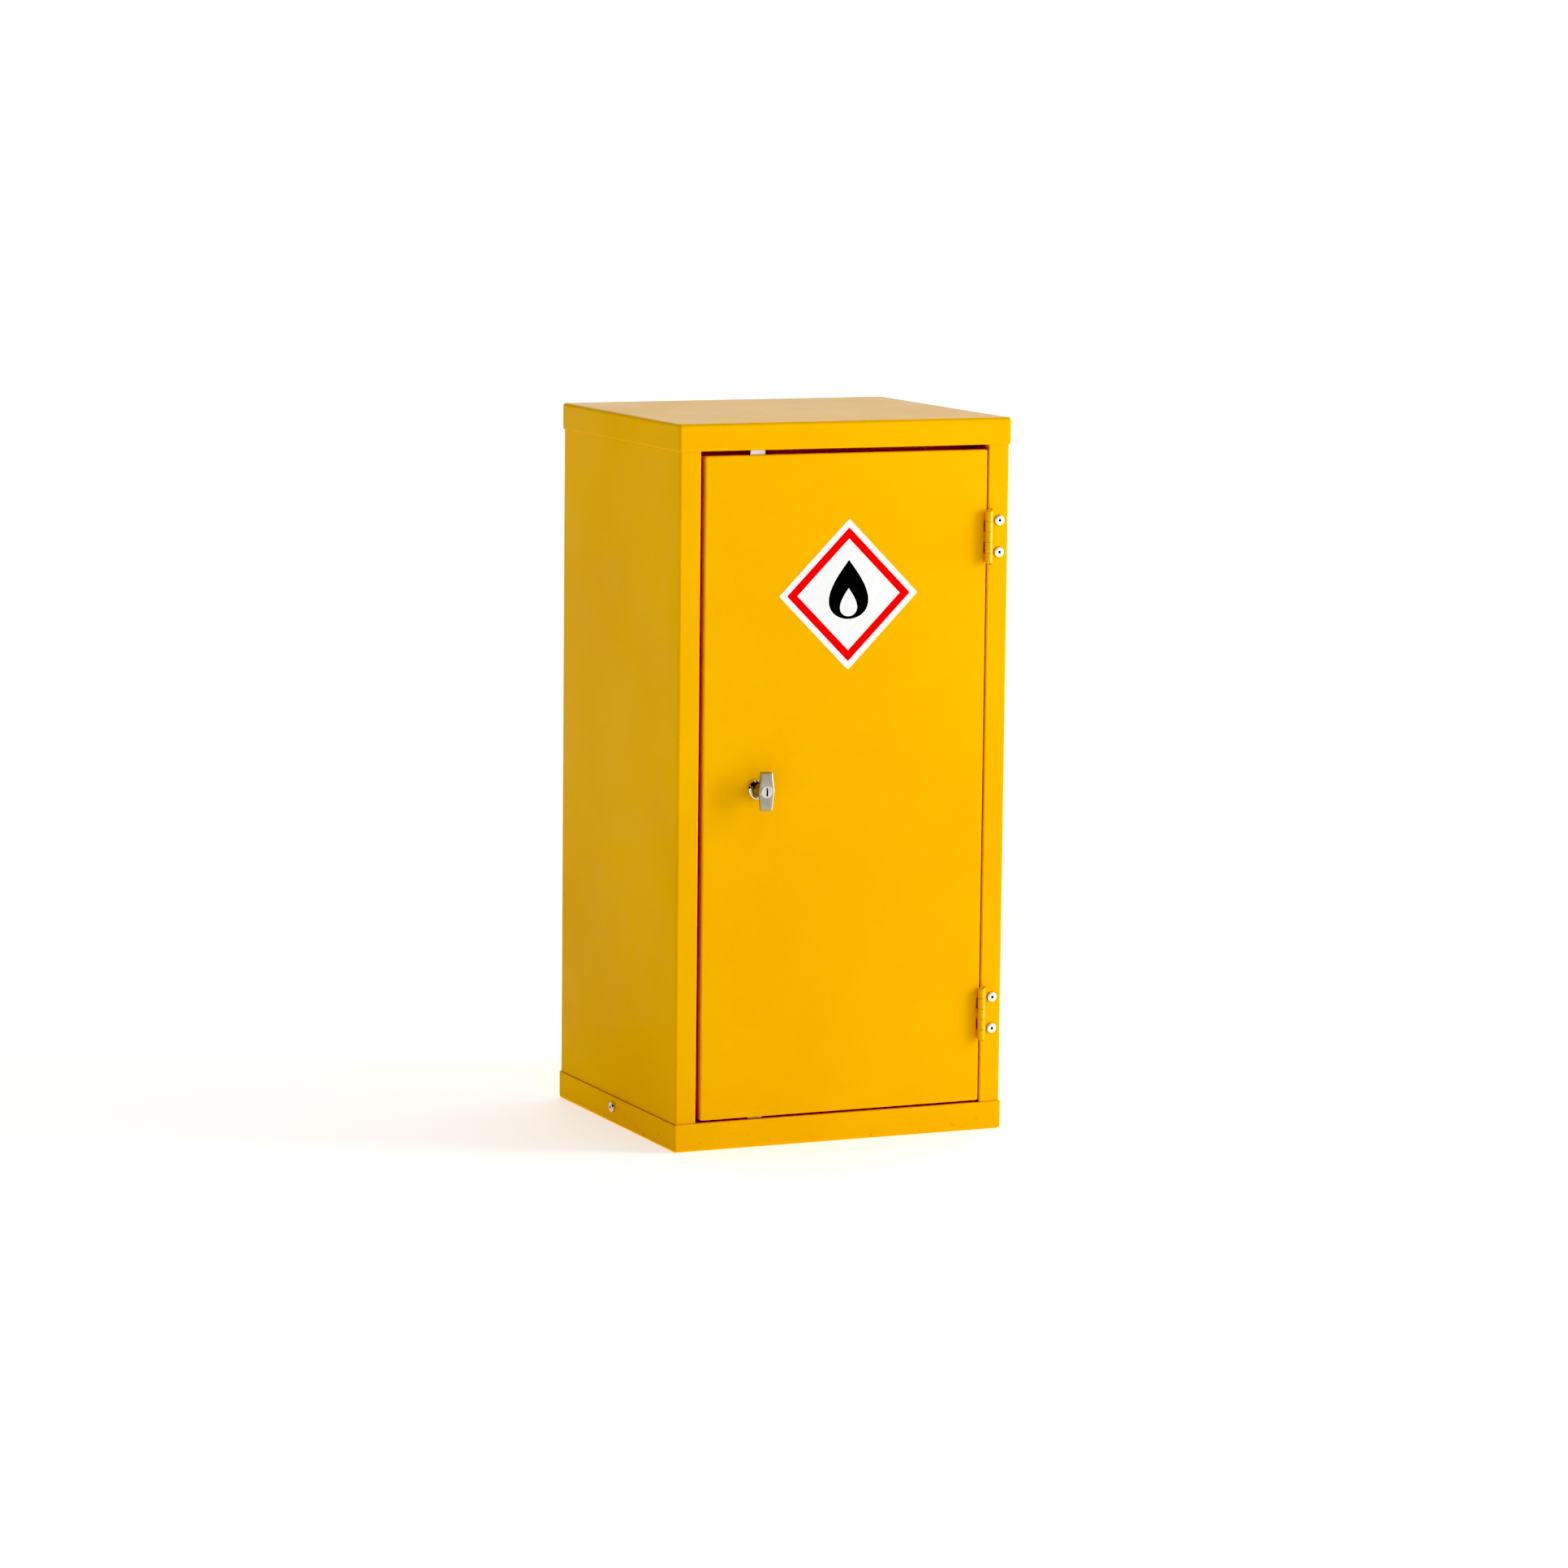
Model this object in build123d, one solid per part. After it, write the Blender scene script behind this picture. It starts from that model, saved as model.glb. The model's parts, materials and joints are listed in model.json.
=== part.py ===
from build123d import *
import math
import os

os.makedirs("parts", exist_ok=True)

# ---------------------------------------------------------------------------
# Small flammable storage cabinet, all sizes in millimetres.
# X runs to the right across the front, Y runs from the front to the back and
# Z runs up.  The origin is the centre of the footprint, on the floor.
# ---------------------------------------------------------------------------

# Cabinet envelope
WIDTH = 355.0
DEPTH = 305.0
HEIGHT = 712.0
SHEET = 1.2                      # folded steel sheet
CAP_GAP = 0.3                    # fit of lid and base round the body
BEND = 2.4                       # outer radius of the body's vertical bends
STILE_BEND = 1.4                 # tighter bend along the door opening

# Body, inside the lid and base flanges
BODY_X = WIDTH / 2 - SHEET - CAP_GAP
BODY_Y = DEPTH / 2 - SHEET - CAP_GAP
INNER_X = BODY_X - SHEET
STILE_EDGE = 153.7               # inner edges of the two front stiles
REAR_FLANGE = 15.0
STOP_FLANGE = 10.7               # door stop behind the left stile
STOP_Y = -129.2
HEADER_LOW = 664.0               # top door stop, between its two edges
HEADER_HIGH = 699.0
HEADER_LEG = 16.0

# Lid and base
LID_FLANGE = 26.3
BASE_FLANGE = 27.8
CAP_RADIUS = 3.0
LIP_DEPTH = 11.3                 # inward lip along the opening
LIP_HALF = 152.0

# Door
DOOR_LEFT = -149.2
DOOR_RIGHT = 152.2
DOOR_BOTTOM = 29.6
DOOR_TOP = 680.8
DOOR_DEEP = 20.0
DOOR_LIP = 12.0
DOOR_CORNER = 2.0
HAT_HALF = 24.0                  # vertical stiffener: half width, flange, depth, sheet
HAT_FLANGE = 12.0
HAT_DEEP = 15.4
HAT_SHEET = 1.0
BUFFER_R = 4.0
BUFFER_ROWS = (110.0, 600.0)
FRONT = -BODY_Y                  # plane of stiles and door face
SKIN_BACK = FRONT + SHEET
DOOR_BACK = FRONT + DOOR_DEEP

# Hinges
HINGE_X = 152.6
HINGE_Y = -155.2
HINGE_R = 3.8
PIN_R = 2.0
PIN_FIT = 0.05
KNUCKLE = 10.5
KNUCKLES = 5
KNUCKLE_GAP = 0.25
LEAF = 1.2
LEAF_WIDE = 18.6                 # frame leaf, from the stile's edge
LEAF_CLEAR = 0.3                 # frame leaf to the notch's upper and lower edges
NOTCH_TALL = 55.7                # notch in the right stile round each hinge
NOTCH_RIGHT = 5.2                # from the hinge axis to the notch's right edge
DOOR_NOTCH = 3.0                 # notches in the door's edge at the frame knuckles
UPPER_HINGE_Z = 594.9
LOWER_HINGE_Z = 118.0
RIVET_X = 165.7
RIVET_HEAD_R = 5.3
RIVET_PROUD = 2.0
RIVET_PITCH = 31.5
RIVET_SHANK_R = 2.4
RIVET_TAIL_R = 3.5
MANDREL_R = 1.35

# Handle and lock
LOCK_X = -91.1
LOCK_Z = 354.9
ROSETTE_R = 10.5
ROSETTE_PROUD = 2.7
NECK_R = 7.0
NECK_BACK = 1.8                  # end of the neck, in front of the door
BARREL_R = 6.3
BARREL_DEEP = 12.5
LOCK_NUT_ACROSS = 23.0
LOCK_NUT_THICK = 3.0
GRIP_FACE = FRONT - 22.5         # front face of the T-grip
GRIP_BACK = FRONT - 15.1
GRIP_BEVEL = 0.7
GRIP_FRONT_HALF = (7.0, 4.65, 17.8)  # half widths at middle and end, half height
GRIP_EDGE_HALF = (8.3, 6.0, 18.6)    # behind the front bevel
GRIP_BACK_HALF = (6.6, 4.2, 19.2)    # at the back, next to the neck
SPINDLE = 7.0
SPINDLE_R = 4.6
SLEEVE_R = 8.5
SLEEVE_BACK = -145.8
CAM_FRONT = -145.3
CAM_THICK = 2.5
PIN_CIRCLE = 14.142
CAM_PIN_R = 2.5
CAM_WIDE = 10.0
CAM_HUB_R = 9.0

# Locking rods
ROD_W = 16.3
ROD_T = 3.0
ROD_OFFSET = 2.2                 # upper rod to the left, lower rod to the right of the lock
UPPER_ROD_X = LOCK_X - ROD_OFFSET
LOWER_ROD_X = LOCK_X + ROD_OFFSET
ROD_FRONT = -147.3               # layer of the rod ends
YOKE_FRONT = -142.3              # layer of the yokes behind the cam
ROD_GAP = 0.5                    # from a retracted tip to the flange edge
GUIDE_OFFSET = 200.0
GUIDE_STUD = 12.0                # from the rod's middle to each stud
GUIDE_HALF = 15.5
GUIDE_TALL = 14.0
GUIDE_THICK = 8.0
STUD_R = 1.5

# Inside
UPRIGHT_W = 20.0
UPRIGHT_DEEP = 8.0
UPRIGHT_Y = (-100.0, 115.0)
UPRIGHT_LOW = 60.0
UPRIGHT_HIGH = 680.0
SLOT_FIRST = 20.0                # first slot, above the upright's lower end
SLOT_PITCH = 50.0
SLOT_TALL = 11.0
SLOT_WIDE = 3.2
SHELF_X = 165.0
SHELF_FRONT = -124.0
SHELF_REAR = 146.0
SHELF_EDGE = 22.0
SHELF_SHEET = 1.0
CLIP_SLOT = 5                    # slot row that carries the shelf clips
TRAY_LEFT = -139.0
TRAY_RIGHT = 147.0
TRAY_FRONT = -126.0
TRAY_REAR = 146.0
TRAY_TALL = 45.0

# Label and small hardware
LABEL_SIDE = 105.0
LABEL_X = 3.5
LABEL_Z = 542.4
LABEL_T = 0.15
LABEL_CORNER = 1.5
SCREW_Y = 5.9
SCREW_Z = 17.0
SCREW_R = 2.9
SCREW_HEAD_R = 5.2
SCREW_HEAD_TALL = 2.6
RECESS_WIDE = 1.3


def block(x0, x1, y0, y1, z0, z1):
    """A box given by its two opposite corners."""
    centre = Pos((x0 + x1) / 2, (y0 + y1) / 2, (z0 + z1) / 2)
    return centre * Box(x1 - x0, y1 - y0, z1 - z0)


def rod_y(x, z, y0, y1, radius):
    """A round bar along Y."""
    bar = Cylinder(radius, y1 - y0)
    return Pos(x, (y0 + y1) / 2, z) * Rot(90, 0, 0) * bar


def rod_z(x, y, z0, z1, radius):
    """A round bar along Z."""
    return Pos(x, y, (z0 + z1) / 2) * Cylinder(radius, z1 - z0)


def hex_y(x, z, y0, y1, across):
    """A hexagonal bar along Y, given across its flats."""
    outline = RegularPolygon(across / math.sqrt(3), 6)
    bar = extrude(outline, (y1 - y0) / 2, both=True)
    return Pos(x, (y0 + y1) / 2, z) * Rot(90, 0, 0) * bar


def folded(points, radii, thick, side, z0, z1):
    """Sheet metal with a constant cross-section, standing along Z."""
    path = FilletPolyline(*points, radius=radii)
    ribbon = make_face(offset(path, thick, side=side))
    return Pos(0, 0, z0) * extrude(ribbon, z1 - z0)


def save(shape, node):
    export_step(shape, f"parts/{node}.step")


# ---------------------------------------------------------------------------
# Lid and base: shallow caps folded from one sheet, outside the body
# ---------------------------------------------------------------------------

def cap(tall, rod_x):
    """An open box, mouth down, with an inward lip along the door opening and a rod slot."""
    outer = Pos(0, 0, -tall / 2) * Box(WIDTH, DEPTH, tall)
    rounded = outer.edges().filter_by(Axis.Z) + outer.faces().sort_by(Axis.Z)[-1].edges()
    outer = fillet(rounded, CAP_RADIUS)
    hollow = block(
        -WIDTH / 2 + SHEET, WIDTH / 2 - SHEET,
        -DEPTH / 2 + SHEET, DEPTH / 2 - SHEET,
        -tall, -SHEET,
    )
    hollow = fillet(hollow.edges().filter_by(Axis.Z), CAP_RADIUS - SHEET)
    shell = outer - hollow
    lip = block(
        -LIP_HALF, LIP_HALF,
        -DEPTH / 2 + SHEET / 2, -DEPTH / 2 + SHEET + LIP_DEPTH,
        -tall, -tall + SHEET,
    )
    shell = shell + lip
    edge = shell.edges().filter_by(Axis.X).group_by(Axis.Z)[0].sort_by(Axis.Y)[0]
    shell = fillet(edge, 0.9)
    slot = block(
        rod_x - ROD_W / 2 - 0.8, rod_x + ROD_W / 2 + 0.8,
        ROD_FRONT - 0.7, ROD_FRONT + ROD_T + 0.7,
        -tall - 1, -tall + SHEET + 1,
    )
    return shell - slot


def side_holes(z):
    """Clearance holes for the screws that join base and side panels."""
    return Pos(0, SCREW_Y, z) * Rot(0, 90, 0) * Cylinder(3.1, WIDTH + 10)


lid = Pos(0, 0, HEIGHT) * cap(LID_FLANGE, UPPER_ROD_X)
base_tray = mirror(cap(BASE_FLANGE, LOWER_ROD_X), about=Plane.XY) - side_holes(SCREW_Z)

# ---------------------------------------------------------------------------
# Body: two side panels folded into stiles, and a back panel
# ---------------------------------------------------------------------------

BODY_LOW = SHEET
BODY_HIGH = HEIGHT - SHEET
HINGE_ROWS = [UPPER_HINGE_Z, LOWER_HINGE_Z]
RIVET_ROWS = [
    centre + sign * RIVET_PITCH / 2
    for centre in HINGE_ROWS
    for sign in (-1, 1)
]

left_points = [
    (-STILE_EDGE + STOP_FLANGE, STOP_Y),
    (-STILE_EDGE, STOP_Y),
    (-STILE_EDGE, FRONT),
    (-BODY_X, FRONT),
    (-BODY_X, BODY_Y),
    (-BODY_X + REAR_FLANGE, BODY_Y),
]
left_bends = [1.2, STILE_BEND, BEND, BEND]
left_side = folded(left_points, left_bends, SHEET, Side.RIGHT, BODY_LOW, BODY_HIGH)
left_side = left_side - side_holes(SCREW_Z)

right_points = [
    (STILE_EDGE, STOP_Y),
    (STILE_EDGE, FRONT),
    (BODY_X, FRONT),
    (BODY_X, BODY_Y),
    (BODY_X - REAR_FLANGE, BODY_Y),
]
right_bends = [STILE_BEND, BEND, BEND]
right_side = folded(right_points, right_bends, SHEET, Side.LEFT, BODY_LOW, BODY_HIGH)
right_side = right_side - side_holes(SCREW_Z)
for row in RIVET_ROWS:
    right_side = right_side - rod_y(RIVET_X, row, FRONT - 1, FRONT + 3, RIVET_SHANK_R + 0.1)
for row in HINGE_ROWS:
    right_side = right_side - block(
        STILE_EDGE - 1, HINGE_X + NOTCH_RIGHT,
        FRONT - 1, SKIN_BACK + LEAF + 0.3,
        row - NOTCH_TALL / 2, row + NOTCH_TALL / 2,
    )

back_panel = block(
    -BODY_X + 3, BODY_X - 3,
    BODY_Y - 2 * SHEET, BODY_Y - SHEET,
    BODY_LOW, BODY_HIGH,
)

# Door stop across the top: vertical leg behind the door, top leg turned back
header_points = [
    (HEADER_LOW, STOP_Y),
    (HEADER_HIGH, STOP_Y),
    (HEADER_HIGH, STOP_Y + HEADER_LEG),
]
header_path = FilletPolyline(*[(y, z) for z, y in header_points], radius=[2.2])
header_face = make_face(offset(header_path, SHEET, side=Side.RIGHT))
header_left = -STILE_EDGE + STOP_FLANGE
top_stop = extrude(Plane.YZ.offset(header_left) * header_face, INNER_X - header_left)

# ---------------------------------------------------------------------------
# Screws through the base flange, one on each side, with nuts inside
# ---------------------------------------------------------------------------

def base_screw(side):
    """Pan-head screw pointing inwards; side is -1 left or +1 right."""
    head = Cylinder(SCREW_HEAD_R, SCREW_HEAD_TALL)
    head = fillet(head.edges().sort_by(Axis.Z)[-1], 1.7)
    recess = Box(SCREW_HEAD_R, RECESS_WIDE, 3) + Box(RECESS_WIDE, SCREW_HEAD_R, 3)
    head = head - Pos(0, 0, SCREW_HEAD_TALL / 2) * recess
    shank = Pos(0, 0, -7.3) * Cylinder(SCREW_R, 12)
    screw = head + shank
    seat = WIDTH / 2 + SCREW_HEAD_TALL / 2
    return Pos(side * seat, SCREW_Y, SCREW_Z) * Rot(0, side * 90, 0) * screw


def base_nut(side):
    """Hexagonal nut clamped against the side panel's inner face."""
    nut = extrude(RegularPolygon(10 / math.sqrt(3), 6), 5)
    nut = nut - Pos(0, 0, 2.5) * Cylinder(SCREW_R + PIN_FIT, 8)
    return Pos(side * INNER_X, SCREW_Y, SCREW_Z) * Rot(0, -side * 90, 0) * nut


base_screws = Compound(children=[base_screw(-1), base_screw(1)])
base_nuts = Compound(children=[base_nut(-1), base_nut(1)])


# ---------------------------------------------------------------------------
# Shelf supports, clips, shelf and sump tray
# ---------------------------------------------------------------------------

SLOT_ROWS = [
    UPRIGHT_LOW + SLOT_FIRST + SLOT_PITCH * i
    for i in range(int((UPRIGHT_HIGH - UPRIGHT_LOW - SLOT_FIRST) // SLOT_PITCH) + 1)
]


def upright(side, y):
    """Slotted channel welded to the inner face of a side panel."""
    inner = side * (INNER_X - UPRIGHT_DEEP)
    wall = side * INNER_X
    points = [
        (wall, y - UPRIGHT_W / 2),
        (inner, y - UPRIGHT_W / 2),
        (inner, y + UPRIGHT_W / 2),
        (wall, y + UPRIGHT_W / 2),
    ]
    turn = Side.RIGHT if side > 0 else Side.LEFT
    channel = folded(points, [2.0, 2.0], SHEET, turn, UPRIGHT_LOW, UPRIGHT_HIGH)
    for row in SLOT_ROWS:
        channel = channel - Pos(inner, y, row) * Box(6, SLOT_WIDE, SLOT_TALL)
    return channel


CLIP_TOP = SLOT_ROWS[CLIP_SLOT] + 2.0


def clip(side, y):
    """Shelf clip: a ledge, a back plate and a hook that drops behind the web."""
    face = INNER_X - UPRIGHT_DEEP
    ledge = block(-face, -face + 12.0, y - 9, y + 9, CLIP_TOP - 1.5, CLIP_TOP)
    plate = block(-face, -face + 1.5, y - 9, y + 9, CLIP_TOP - 1.5, CLIP_TOP + 9)
    neck = block(-face - 3.5, -face + 0.5, y - 1.3, y + 1.3, CLIP_TOP - 4.0, CLIP_TOP + 0.5)
    hook = block(-face - 3.5, -face - 1.5, y - 1.3, y + 1.3, CLIP_TOP - 9.5, CLIP_TOP - 3)
    rib = block(-face + 0.5, -face + 8, y - 0.75, y + 0.75, CLIP_TOP - 6, CLIP_TOP - 1)
    shape = ledge + plate + neck + hook + rib
    if side > 0:
        shape = mirror(shape, about=Plane.YZ)
    return shape


def shelf_shape():
    """Flat shelf with four down-turned edges and safe-edge returns."""
    top = CLIP_TOP + 0.05 + SHELF_EDGE
    plate = block(-SHELF_X, SHELF_X, SHELF_FRONT, SHELF_REAR, top - SHELF_EDGE, top)
    rounded = plate.edges().filter_by(Axis.Z) + plate.faces().sort_by(Axis.Z)[-1].edges()
    plate = fillet(rounded, 2.0)
    hollow = block(
        -SHELF_X + SHELF_SHEET, SHELF_X - SHELF_SHEET,
        SHELF_FRONT + SHELF_SHEET, SHELF_REAR - SHELF_SHEET,
        top - SHELF_EDGE, top - SHELF_SHEET,
    )
    hollow = fillet(hollow.edges().filter_by(Axis.Z), 1.0)
    shape = plate - hollow
    for y0, y1 in (
        (SHELF_FRONT + 0.5, SHELF_FRONT + 10),
        (SHELF_REAR - 10, SHELF_REAR - 0.5),
    ):
        shape = shape + block(
            -SHELF_X + 14, SHELF_X - 14, y0, y1,
            top - SHELF_EDGE, top - SHELF_EDGE + SHELF_SHEET,
        )
    return shape


def tray_shape():
    """Liquid-tight pan that lifts out of the base."""
    low = SHEET + 0.05
    pan = block(TRAY_LEFT, TRAY_RIGHT, TRAY_FRONT, TRAY_REAR, low, low + TRAY_TALL)
    rounded = pan.edges().filter_by(Axis.Z) + pan.faces().sort_by(Axis.Z)[0].edges()
    pan = fillet(rounded, 4.0)
    inside = block(
        TRAY_LEFT + SHEET, TRAY_RIGHT - SHEET,
        TRAY_FRONT + SHEET, TRAY_REAR - SHEET,
        low + SHEET, low + TRAY_TALL + 1,
    )
    rounded = inside.edges().filter_by(Axis.Z) + inside.faces().sort_by(Axis.Z)[0].edges()
    return pan - fillet(rounded, 2.8)


shelf_clips = Compound(children=[clip(side, y) for side in (-1, 1) for y in UPRIGHT_Y])
shelf = shelf_shape()
sump_tray = tray_shape()


# ---------------------------------------------------------------------------
# Door: folded pan, vertical stiffener and buffers
# ---------------------------------------------------------------------------

HINGE_TALL = KNUCKLE * KNUCKLES


def knuckle_span(centre, index):
    """Lower and upper end of one hinge knuckle, counted from below."""
    low = centre - HINGE_TALL / 2 + KNUCKLE * index + KNUCKLE_GAP / 2
    return low, low + KNUCKLE - KNUCKLE_GAP


def door_pan():
    """Door skin with four returned edges and a lip round the open back."""
    pan = block(DOOR_LEFT, DOOR_RIGHT, FRONT, DOOR_BACK, DOOR_BOTTOM, DOOR_TOP)
    pan = fillet(pan.edges().filter_by(Axis.Y), DOOR_CORNER)
    pan = fillet(pan.faces().sort_by(Axis.Y)[0].edges(), 1.6)
    cavity = block(
        DOOR_LEFT + SHEET, DOOR_RIGHT - SHEET, SKIN_BACK, DOOR_BACK - SHEET,
        DOOR_BOTTOM + SHEET, DOOR_TOP - SHEET,
    )
    cavity = fillet(cavity.edges().filter_by(Axis.Y), DOOR_CORNER - SHEET)
    window = block(
        DOOR_LEFT + DOOR_LIP, DOOR_RIGHT - DOOR_LIP, DOOR_BACK - 3, DOOR_BACK + 1,
        DOOR_BOTTOM + DOOR_LIP, DOOR_TOP - DOOR_LIP,
    )
    pan = pan - cavity - window
    pan = pan - rod_y(LOCK_X, LOCK_Z, FRONT - 1, SKIN_BACK + 1, SLEEVE_R + 0.3)
    for x, z in ((LOWER_ROD_X, DOOR_BOTTOM), (UPPER_ROD_X, DOOR_TOP)):
        pan = pan - block(
            x - ROD_W / 2 - 0.6, x + ROD_W / 2 + 0.6,
            ROD_FRONT - 0.6, ROD_FRONT + ROD_T + 0.6,
            z - 4, z + 4,
        )
    for centre in HINGE_ROWS:
        for index in (1, 3):
            low, high = knuckle_span(centre, index)
            pan = pan - block(
                DOOR_RIGHT - DOOR_NOTCH, DOOR_RIGHT + 1, FRONT - 1, FRONT + 3.2,
                low - 0.3, high + 0.3,
            )
    return pan


door_skin = door_pan()

DOOR_MID = (DOOR_LEFT + DOOR_RIGHT) / 2
hat_points = [
    (DOOR_MID - HAT_HALF - HAT_FLANGE, SKIN_BACK),
    (DOOR_MID - HAT_HALF, SKIN_BACK),
    (DOOR_MID - HAT_HALF, SKIN_BACK + HAT_DEEP),
    (DOOR_MID + HAT_HALF, SKIN_BACK + HAT_DEEP),
    (DOOR_MID + HAT_HALF, SKIN_BACK),
    (DOOR_MID + HAT_HALF + HAT_FLANGE, SKIN_BACK),
]
door_stiffener = folded(
    hat_points, [2.2, 2.2, 2.2, 2.2], HAT_SHEET, Side.LEFT,
    DOOR_BOTTOM + SHEET + 0.3, DOOR_TOP - SHEET - 0.3,
)


def buffer(z):
    """Small rubber pad on the stop flange, behind the door's left lip."""
    pad = rod_y(-STILE_EDGE + 5.6, z, DOOR_BACK + 0.1, STOP_Y, BUFFER_R)
    return fillet(pad.edges().sort_by(Axis.Y)[0], 0.6)


door_buffers = Compound(children=[buffer(row) for row in BUFFER_ROWS])


# ---------------------------------------------------------------------------
# Hinges: five knuckles, three on the door leaf and two on the frame leaf
# ---------------------------------------------------------------------------

def knuckle(centre, index):
    """One rolled knuckle; the two outer ones have rounded ends."""
    low, high = knuckle_span(centre, index)
    roll = rod_z(HINGE_X, HINGE_Y, low, high, HINGE_R)
    if index == 0:
        roll = fillet(roll.edges().sort_by(Axis.Z)[0], 1.3)
    if index == KNUCKLES - 1:
        roll = fillet(roll.edges().sort_by(Axis.Z)[-1], 1.3)
    return roll


def knuckle_tab(centre, index, x0, y1):
    """Strip that joins a knuckle to its leaf through the door gap."""
    low, high = knuckle_span(centre, index)
    if index == 0:
        low = low + 1.3
    if index == KNUCKLES - 1:
        high = high - 1.3
    return block(x0, x0 + LEAF, HINGE_Y + 3.0, y1, low, high)


def pin_bore(centre):
    return rod_z(HINGE_X, HINGE_Y, centre - HINGE_TALL, centre + HINGE_TALL, PIN_R + PIN_FIT)


def door_leaf(centre):
    """Leaf welded to the outside of the door's right edge."""
    leaf = block(
        DOOR_RIGHT, DOOR_RIGHT + LEAF, FRONT + 3.7, DOOR_BACK - 4,
        centre - HINGE_TALL / 2 + 1.3, centre + HINGE_TALL / 2 - 1.3,
    )
    for index in (0, 2, 4):
        leaf = leaf + knuckle(centre, index)
        leaf = leaf + knuckle_tab(centre, index, DOOR_RIGHT, FRONT + 5)
    return leaf - pin_bore(centre)


def frame_leaf(centre):
    """Leaf behind the right stile, riveted to it and nearly filling the notch's height."""
    half = NOTCH_TALL / 2 - LEAF_CLEAR
    leaf = block(
        STILE_EDGE, STILE_EDGE + LEAF_WIDE, SKIN_BACK, SKIN_BACK + LEAF,
        centre - half, centre + half,
    )
    leaf = fillet(leaf.edges().filter_by(Axis.Y), 1.5)
    for index in (1, 3):
        leaf = leaf + knuckle(centre, index)
        leaf = leaf + knuckle_tab(centre, index, STILE_EDGE - LEAF, SKIN_BACK + LEAF)
        low, high = knuckle_span(centre, index)
        leaf = leaf + block(
            STILE_EDGE - LEAF, STILE_EDGE + 3, SKIN_BACK, SKIN_BACK + LEAF, low, high,
        )
    for sign in (-1, 1):
        row = centre + sign * RIVET_PITCH / 2
        leaf = leaf - rod_y(RIVET_X, row, SKIN_BACK - 1, SKIN_BACK + 3, RIVET_SHANK_R + 0.1)
    return leaf - pin_bore(centre)


def hinge_pin(centre):
    """Pin a little shorter than the barrel, so that it stays inside."""
    half = HINGE_TALL / 2 - 0.6
    pin = rod_z(HINGE_X, HINGE_Y, centre - half, centre + half, PIN_R)
    return chamfer(pin.edges(), 0.3)


def blind_rivet(z):
    """Blind rivet: domed head with a mandrel hole, shank and set tail."""
    head = rod_y(RIVET_X, z, FRONT - RIVET_PROUD, FRONT, RIVET_HEAD_R)
    head = fillet(head.edges().sort_by(Axis.Y)[0], RIVET_PROUD - 0.3)
    shank = rod_y(RIVET_X, z, FRONT - 0.5, SKIN_BACK + LEAF + 0.5, RIVET_SHANK_R)
    tail = rod_y(RIVET_X, z, SKIN_BACK + LEAF, SKIN_BACK + LEAF + 3.5, RIVET_TAIL_R)
    tail = fillet(tail.edges().sort_by(Axis.Y)[-1], 1.4)
    mandrel = rod_y(RIVET_X, z, FRONT - 3, FRONT + 3.2, MANDREL_R)
    return head + shank + tail - mandrel


hinge_rivets = Compound(children=[blind_rivet(row) for row in RIVET_ROWS])


# ---------------------------------------------------------------------------
# Handle and lock, all on one axis through the door
# ---------------------------------------------------------------------------

def on_axis(shape):
    """Turn a shape built along local Z (towards the front) onto the lock axis."""
    return Pos(LOCK_X, FRONT, LOCK_Z) * Rot(90, 0, 0) * shape


def rosette_shape():
    """Fixed escutcheon: rounded rim, groove, inner lip and threaded sleeve."""
    bore = SPINDLE_R + PIN_FIT
    seat = NECK_R + 0.3
    rim = ROSETTE_R - 1.3
    groove = rim - 0.3
    lip = seat + 0.6
    outline = [
        Line((bore, 0), (ROSETTE_R, 0)),
        Line((ROSETTE_R, 0), (ROSETTE_R, 0.9)),
        ThreePointArc((ROSETTE_R, 0.9), (ROSETTE_R - 0.45, 2.2), (rim, ROSETTE_PROUD)),
        ThreePointArc((rim, ROSETTE_PROUD), (groove + 0.07, 2.5), (groove, 2.0)),
        Line((groove, 2.0), (groove, 0.9)),
        Line((groove, 0.9), (lip, 0.9)),
        Line((lip, 0.9), (lip, 2.1)),
        ThreePointArc((lip, 2.1), (seat + 0.3, 2.4), (seat, 2.1)),
        Line((seat, 2.1), (seat, 1.4)),
        Line((seat, 1.4), (bore, 1.4)),
        Line((bore, 1.4), (bore, 0)),
    ]
    profile = make_face(Plane.XZ * Wire(outline))
    ring = revolve(profile, Axis.Z, 360)
    deep = FRONT - SLEEVE_BACK
    sleeve = Cylinder(SLEEVE_R, -deep, align=(Align.CENTER, Align.CENTER, Align.MIN))
    sleeve = Pos(0, 0, deep) * sleeve - Cylinder(bore, 40)
    return on_axis(ring + sleeve)


def grip_outline(half):
    """Elongated hexagon of the T-handle from its half widths and half height."""
    mid, end, tall = half
    return Polygon(
        (mid, 0), (end, tall), (-end, tall), (-mid, 0), (-end, -tall), (end, -tall),
        align=None,
    )


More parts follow.
